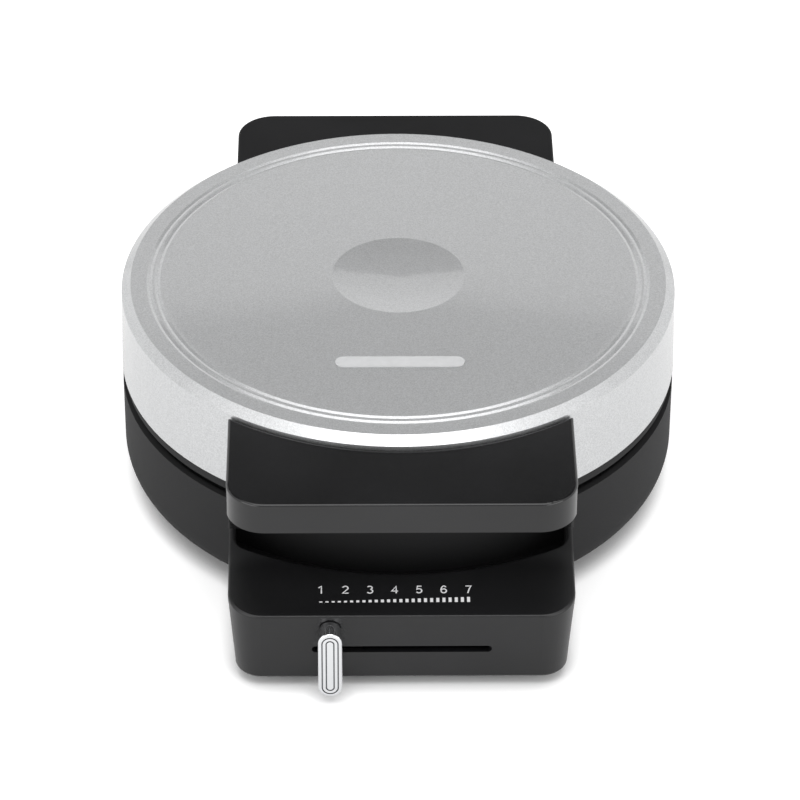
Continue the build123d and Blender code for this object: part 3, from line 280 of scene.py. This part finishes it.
def inside_slot(tree, across, along, half_wide, half_long):
    """Depth inside the edge of a round-ended bar, in millimetres."""
    from_middle = add(tree, "Math", {0: along}, operation="ABSOLUTE")
    past_end = add(tree, "Math", {0: from_middle.outputs["Value"], 1: half_long - half_wide},
                   operation="SUBTRACT")
    beyond = add(tree, "Math", {0: past_end.outputs["Value"], 1: 0.0}, operation="MAXIMUM")
    spot = add(tree, "CombineXYZ", {"X": across, "Y": beyond.outputs["Value"]})
    away = add(tree, "VectorMath", {0: spot.outputs["Vector"]}, operation="LENGTH")
    return add(tree, "Math", {0: half_wide, 1: away.outputs["Value"]},
               operation="SUBTRACT").outputs["Value"]


def shifted(tree, value, by):
    """A coordinate measured from another point."""
    return add(tree, "Math", {0: value, 1: by}, operation="SUBTRACT").outputs["Value"]


material, tree, surface = new_material("bright_chrome_on_zinc")
place = place_in_mm(tree)
axes = add(tree, "SeparateXYZ", {"Vector": place}).outputs
depth = inside_slot(tree, shifted(tree, axes["X"], knob_centre[0]),
                    shifted(tree, axes["Z"], knob_centre[1]), knob_half_wide, knob_half_tall)
# Painted shade: the two engraved lines get a dark grey colour in place of the shade of their
# grooves.
painted_groove_shade = 0.0
for inset in knob_insets:
    off = add(tree, "Math", {0: depth, 1: inset, 2: knob_line_width / 2}, operation="COMPARE")
    painted_groove_shade = add(tree, "Math", {0: off.outputs["Value"], 1: painted_groove_shade},
                   operation="MAXIMUM").outputs["Value"]
wipe = add(tree, "TexNoise", {"Vector": place, "Scale": per_mm(4.0), "Detail": 3.0})
gloss = add(tree, "MapRange", {"Value": wipe.outputs["Fac"], "From Min": 0.3, "From Max": 0.7,
                               "To Min": 0.03, "To Max": 0.08})
colour = add(tree, "Mix", {"Factor": painted_groove_shade, "A": linear("#e9eaec"), "B": linear("#5c5d60")},
             data_type="RGBA")
shader = add(tree, "BsdfPrincipled", {"Base Color": colour.outputs["Result"], "Metallic": 1.0,
                                      "Roughness": gloss.outputs["Result"]})
tree.links.new(shader.outputs["BSDF"], surface)
dress(material, "slider_knob")


# Baking plates.
# Two pressure-cast aluminium plates, each with five hearts and raised squares, sprayed with a
# black non-stick coating; the coating is satin and carries a fine pale fleck.
material, tree, surface = new_material("non_stick_coating_on_cast_aluminium")
place = place_in_mm(tree)
fleck = add(tree, "TexVoronoi", {"Vector": place, "Scale": per_mm(0.9)})
spots = add(tree, "MapRange", {"Value": fleck.outputs["Distance"], "From Min": 0.10,
                               "From Max": 0.2, "To Min": 0.6, "To Max": 0.0})
film = add(tree, "TexNoise", {"Vector": place, "Scale": per_mm(0.7), "Detail": 3.0})
colour = add(tree, "Mix", {"Factor": spots.outputs["Result"], "A": linear("#1c1c1e"),
                           "B": linear("#4a4a4d")}, data_type="RGBA")
relief = add(tree, "Bump", {"Height": film.outputs["Fac"], "Strength": 0.4,
                            "Distance": 0.06 * MM})
shader = add(tree, "BsdfPrincipled", {
    "Base Color": colour.outputs["Result"], "Metallic": 0.25, "Roughness": 0.36,
    "Normal": relief.outputs["Normal"]})
tree.links.new(shader.outputs["BSDF"], surface)
dress(material, "lower_plate", "upper_plate")


# Heating elements.
# Tubular elements with a stainless sheath, bent to an open ring and held to the back of the
# plates by riveted saddles; heat has tinted the steel straw-brown in places.
material, tree, surface = new_material("heat_tinted_stainless_sheath")
place = place_in_mm(tree)
heat = add(tree, "TexNoise", {"Vector": place, "Scale": per_mm(22.0), "Detail": 2.0})
draw = add(tree, "TexNoise", {"Vector": place, "Scale": per_mm(0.8), "Detail": 3.0})
colour = add(tree, "Mix", {"Factor": heat.outputs["Fac"], "A": linear("#8d8a86"),
                           "B": linear("#6b5844")}, data_type="RGBA")
rub = add(tree, "MapRange", {"Value": draw.outputs["Fac"], "To Min": 0.3, "To Max": 0.5})
shader = add(tree, "BsdfPrincipled", {"Base Color": colour.outputs["Result"],
                                      "Metallic": 1.0, "Roughness": rub.outputs["Result"]})
tree.links.new(shader.outputs["BSDF"], surface)
dress(material, "lower_element", "upper_element")


# Screws, brackets, clips, pin and lever.
# Pressed and turned mild steel, bright zinc-plated; the plating is silvery with a slight blue,
# and shows the fine streaks of rolled sheet.
def plated_steel(name, pale, deep, streak, roughness):
    """Zinc on steel: soft metal mirror, fine streaks along the width."""
    made, made_tree, made_surface = new_material(name)
    spot = add(made_tree, "VectorMath", {0: place_in_mm(made_tree), 1: (0.1, 1.0, 1.0)},
               operation="MULTIPLY")
    lines = add(made_tree, "TexNoise", {"Vector": spot.outputs["Vector"],
                                        "Scale": per_mm(streak), "Detail": 4.0})
    tone = add(made_tree, "Mix", {"Factor": lines.outputs["Fac"], "A": linear(deep),
                                  "B": linear(pale)}, data_type="RGBA")
    rough = add(made_tree, "MapRange", {"Value": lines.outputs["Fac"],
                                        "To Min": roughness - 0.08,
                                        "To Max": roughness + 0.1})
    metal = add(made_tree, "BsdfPrincipled", {"Base Color": tone.outputs["Result"],
                                              "Metallic": 1.0,
                                              "Roughness": rough.outputs["Result"]})
    made_tree.links.new(metal.outputs["BSDF"], made_surface)
    return made


dress(plated_steel("zinc_plated_steel", "#c9ccd0", "#9fa3a8", 0.5, 0.34),
      "base_cover_screws", "lower_plate_screws", "lower_shield_screws", "guide_rod",
      "hinge_bracket", "hinge_bracket_screws", "hinge_pin", "hinge_pin_clips",
      "handle_screws", "handle_fixing_screws", "hinge_block_screws", "upper_plate_screws",
      "upper_shield_screws", "thermostat_spindle", "fork_lever", "thermostat_bracket",
      "lower_element_clips", "upper_element_clips")
dress(plated_steel("hot_dip_aluminised_sheet", "#d6d7d6", "#b1b3b2", 2.5, 0.42),
      "lower_heat_shield", "upper_heat_shield")


# Terminal block, switch body, fuse, lamp tray and lead sleeves.
# Nylon for block and tray, brown phenolic for the switch, cast ceramic for the fuse, silicone
# sleeves on the leads. All are dull, slightly warm and a little uneven in colour.
def pale_moulding(name, tint, shade_of, roughness):
    """Dull, softly mottled moulding."""
    made, made_tree, made_surface = new_material(name)
    cloud = add(made_tree, "TexNoise", {"Vector": place_in_mm(made_tree),
                                        "Scale": per_mm(5.0), "Detail": 4.0})
    tone = add(made_tree, "Mix", {"Factor": cloud.outputs["Fac"], "A": linear(tint),
                                  "B": linear(shade_of)}, data_type="RGBA")
    body = add(made_tree, "BsdfPrincipled", {"Base Color": tone.outputs["Result"],
                                             "Roughness": roughness, "IOR": 1.53})
    made_tree.links.new(body.outputs["BSDF"], made_surface)
    return made


dress(pale_moulding("natural_nylon", "#d8d2c2", "#c6bfad", 0.5),
      "terminal_block", "lamp_holder")
dress(pale_moulding("phenolic_switch_body", "#5a3c28", "#452d1e", 0.45), "thermostat_body")
dress(pale_moulding("cast_ceramic_fuse", "#e6e2d8", "#d3cec2", 0.6), "thermal_fuse")
dress(pale_moulding("silicone_sleeve", "#c9c7c0", "#b5b3ab", 0.65), "base_leads", "lid_leads")


# Lid cover.
# One drawn sheet with two embossed rings, a shallow dish and a bevelled shoulder, sprayed with
# silver lacquer and a clear coat. The lacquer holds aluminium flake, so it is a satin grey full
# of tiny sparks; the coat adds a faint sharp mirror of the studio over it.
material, tree, surface = new_material("silver_flake_lacquer_on_drawn_sheet")
place = place_in_mm(tree)
flake = add(tree, "TexVoronoi", {"Vector": place, "Scale": per_mm(0.32)})
flake_tone = add(tree, "SeparateColor", {"Color": flake.outputs["Color"]})
colour = add(tree, "Mix", {"Factor": flake_tone.outputs["Red"], "A": linear("#bfc0c1"),
                           "B": linear("#d8d9da")}, data_type="RGBA")
level = add(tree, "MapRange", {"Value": flake_tone.outputs["Green"], "To Min": 0.36,
                               "To Max": 0.46})
relief = add(tree, "Bump", {"Height": flake_tone.outputs["Blue"], "Strength": 0.12,
                            "Distance": 0.02 * MM})
shader = add(tree, "BsdfPrincipled", {
    "Base Color": colour.outputs["Result"], "Metallic": 0.95,
    "Roughness": level.outputs["Result"], "Normal": relief.outputs["Normal"],
    "Coat Weight": 1.0, "Coat Roughness": 0.05, "Coat IOR": 1.55})
tree.links.new(shader.outputs["BSDF"], surface)
dress(material, "lid_cover")


# Indicator window and lamps.
# A bar of milky polycarbonate set in the cover; the red and the green lamp lie behind it. The
# milk scatters the light, so the bar looks pale.
material, tree, surface = new_material("milky_polycarbonate")
milk = add(tree, "TexNoise", {"Vector": place_in_mm(tree), "Scale": per_mm(3.0),
                              "Detail": 2.0})
colour = add(tree, "Mix", {"Factor": milk.outputs["Fac"], "A": linear("#cfd0d1"),
                           "B": linear("#e4e5e6")}, data_type="RGBA")
shader = add(tree, "BsdfPrincipled", {
    "Base Color": colour.outputs["Result"], "Roughness": 0.22, "IOR": 1.58,
    "Transmission Weight": 0.25})
tree.links.new(shader.outputs["BSDF"], surface)
dress(material, "indicator_window")


def lamp_glass(name, tint, pale):
    """Tinted glass tube of a neon lamp: clear, glossy, coloured through."""
    made, made_tree, made_surface = new_material(name)
    swirl = add(made_tree, "TexNoise", {"Vector": place_in_mm(made_tree),
                                        "Scale": per_mm(1.5), "Detail": 1.0})
    tone = add(made_tree, "Mix", {"Factor": swirl.outputs["Fac"], "A": linear(tint),
                                  "B": linear(pale)}, data_type="RGBA")
    glass = add(made_tree, "BsdfPrincipled", {"Base Color": tone.outputs["Result"],
                                              "Roughness": 0.08, "IOR": 1.5,
                                              "Transmission Weight": 0.7})
    made_tree.links.new(glass.outputs["BSDF"], made_surface)
    return made


dress(lamp_glass("red_tinted_glass", "#c21414", "#d83030"), "red_lamp")
dress(lamp_glass("green_tinted_glass", "#159a3a", "#30b050"), "green_lamp")


# Studio: a white sweep, a soft top light, a high front light and two soft front lights.
# The sweep shows white to the camera and keeps the object's shadow. Close to the object its white
# glow is faded out by an ambient-occlusion mask, a painted contact shadow that deepens the real
# one where the object stands on it. Glossy rays see a white wall up to a dark band, a bright
# screen overhead and a ceiling. Angles are elevations in degrees; the screen's measures are
# shares of a unit direction.
floor_size = 12.0
floor_lift = 0.42
painted_shadow_reach = 9 * MM
painted_shadow_full_at, painted_shadow_clear_at = 0.55, 0.95
painted_shadow_samples = 8


def looked_at(made_tree):
    """One for rays from the camera, also through glass, and nought for all others."""
    made = add(made_tree, "LightPath")
    return add(made_tree, "Math", {0: made.outputs["Is Camera Ray"],
                                   1: made.outputs["Is Transmission Ray"]},
               operation="MAXIMUM").outputs["Value"]


mesh = bpy.data.meshes.new("studio_floor")
half = floor_size / 2
mesh.from_pydata([(-half, -half, 0.0), (half, -half, 0.0), (half, half, 0.0),
                  (-half, half, 0.0)], [], [(0, 1, 2, 3)])
floor = bpy.data.objects.new("studio_floor", mesh)
bpy.context.scene.collection.objects.link(floor)
material, tree, surface = new_material("white_sweep")
paint = add(tree, "BsdfDiffuse", {"Color": linear("#f4f4f4")})
# Painted contact shadow: the white glow fades out where ambient occlusion finds the object within
# reach.
painted_contact_shadow = add(tree, "AmbientOcclusion", {"Distance": painted_shadow_reach},
              samples=painted_shadow_samples)
glow_outside_painted_shadow = add(tree, "MapRange", {"Value": painted_contact_shadow.outputs["AO"], "From Min": painted_shadow_full_at,
                                    "From Max": painted_shadow_clear_at, "To Min": 0.0,
                                    "To Max": floor_lift})
lift = add(tree, "Math", {0: looked_at(tree), 1: glow_outside_painted_shadow.outputs["Result"]},
           operation="MULTIPLY")
glow = add(tree, "Emission", {"Color": linear("#ffffff"), "Strength": lift.outputs["Value"]})
both = add(tree, "AddShader", {0: paint.outputs["BSDF"], 1: glow.outputs["Emission"]})
tree.links.new(both.outputs["Shader"], surface)
material.cycles.emission_sampling = "NONE"
floor.data.materials.append(material)

world = bpy.data.worlds.new("studio_world")
bpy.context.scene.world = world
world.use_nodes = True
world.cycles.sampling_method = "NONE"
tree = world.node_tree
tree.nodes.clear()
ambient = 0.72
dark_band = 0.12
wall_top, wall_blur = 35.0, 0.5
ceiling_edge, ceiling_blur = 64.0, 3.0
ceiling_glow = 0.85
screen_middle = -0.16
screen_reach, screen_end = 0.28, 0.46
screen_glow = 1.1


def step_at(made_tree, value, start, end, before, after):
    """Smooth change from one level to another between two values."""
    return add(made_tree, "MapRange", {"Value": value, "From Min": start, "From Max": end,
                                       "To Min": before, "To Max": after},
               interpolation_type="SMOOTHSTEP").outputs["Result"]


def sine(angle):
    """Height of a direction on the unit sphere, from its elevation in degrees."""
    return math.sin(math.radians(angle))


looks = add(tree, "SeparateXYZ", {"Vector": add(tree, "TexCoord").outputs["Generated"]})
wall = step_at(tree, looks.outputs["Z"], sine(wall_top - wall_blur),
               sine(wall_top + wall_blur), 1.0, dark_band)
ceiling = step_at(tree, looks.outputs["Z"], sine(ceiling_edge - ceiling_blur),
                  sine(ceiling_edge + ceiling_blur), 0.0, ceiling_glow)
from_screen = add(tree, "Math", {0: looks.outputs["Y"], 1: screen_middle},
                  operation="SUBTRACT")
off_screen = add(tree, "Math", {0: from_screen.outputs["Value"]}, operation="ABSOLUTE")
screen = step_at(tree, off_screen.outputs["Value"], screen_reach, screen_end,
                 screen_glow, 0.0)
back = add(tree, "Math", {0: wall, 1: ceiling}, operation="ADD")
mirrored = add(tree, "Math", {0: back.outputs["Value"], 1: screen}, operation="MAXIMUM")
lit = add(tree, "Mix", {"Factor": add(tree, "LightPath").outputs["Is Glossy Ray"],
                        "A": ambient, "B": mirrored.outputs["Value"]}, data_type="FLOAT")
level = add(tree, "Mix", {"Factor": looked_at(tree), "A": lit.outputs["Result"], "B": 1.0},
            data_type="FLOAT")
sky = add(tree, "Background", {"Color": linear("#ffffff"),
                               "Strength": level.outputs["Result"]})
tree.links.new(sky.outputs["Background"], add(tree, "OutputWorld").inputs["Surface"])


def softbox(name, place, width, height, power):
    """A rectangular soft light that faces the object."""
    light = bpy.data.lights.new(name, "AREA")
    light.shape = "RECTANGLE"
    light.size, light.size_y = width, height
    light.energy = power
    holder = bpy.data.objects.new(name, light)
    bpy.context.scene.collection.objects.link(holder)
    holder.location = place
    holder.rotation_euler = (light_target - Vector(place)).to_track_quat("-Z", "Y").to_euler()


light_target = Vector((0.0, 0.0, 0.05))
softbox("top_light", (0.0, 0.3, 1.7), 1.4, 0.8, 5.0)
softbox("high_front_light", (0.0, -0.66, 1.4), 1.3, 0.5, 6.0)
softbox("left_front_light", (-1.1, -1.2, 0.6), 1.3, 1.1, 7.0)
softbox("right_front_light", (1.1, -1.2, 0.6), 1.3, 1.1, 7.0)

# Camera: a long lens, above and in front of the handle, a little to the left of the middle.
camera_turn = math.radians(-0.81)
camera_height = math.radians(35.75)
camera_roll = math.radians(-0.28)
camera_reach = 1.6995
camera_target = Vector((0.00092, 0.01404, 0.02826))
back = Vector((math.sin(camera_turn) * math.cos(camera_height),
               -math.cos(camera_turn) * math.cos(camera_height), math.sin(camera_height)))
level_right = Vector((math.cos(camera_turn), math.sin(camera_turn), 0.0))
level_up = back.cross(level_right)
right = level_right * math.cos(camera_roll) - level_up * math.sin(camera_roll)
up = level_right * math.sin(camera_roll) + level_up * math.cos(camera_roll)
lens = bpy.data.cameras.new("camera")
lens.lens = 190.8
lens.sensor_width = 36.0
lens.clip_start = 0.1
camera = bpy.data.objects.new("camera", lens)
bpy.context.scene.collection.objects.link(camera)
turn = Matrix((right, up, back)).transposed().to_4x4()
camera.matrix_world = Matrix.Translation(camera_target + back * camera_reach) @ turn
bpy.context.scene.camera = camera
bpy.context.scene.view_settings.view_transform = "Standard"
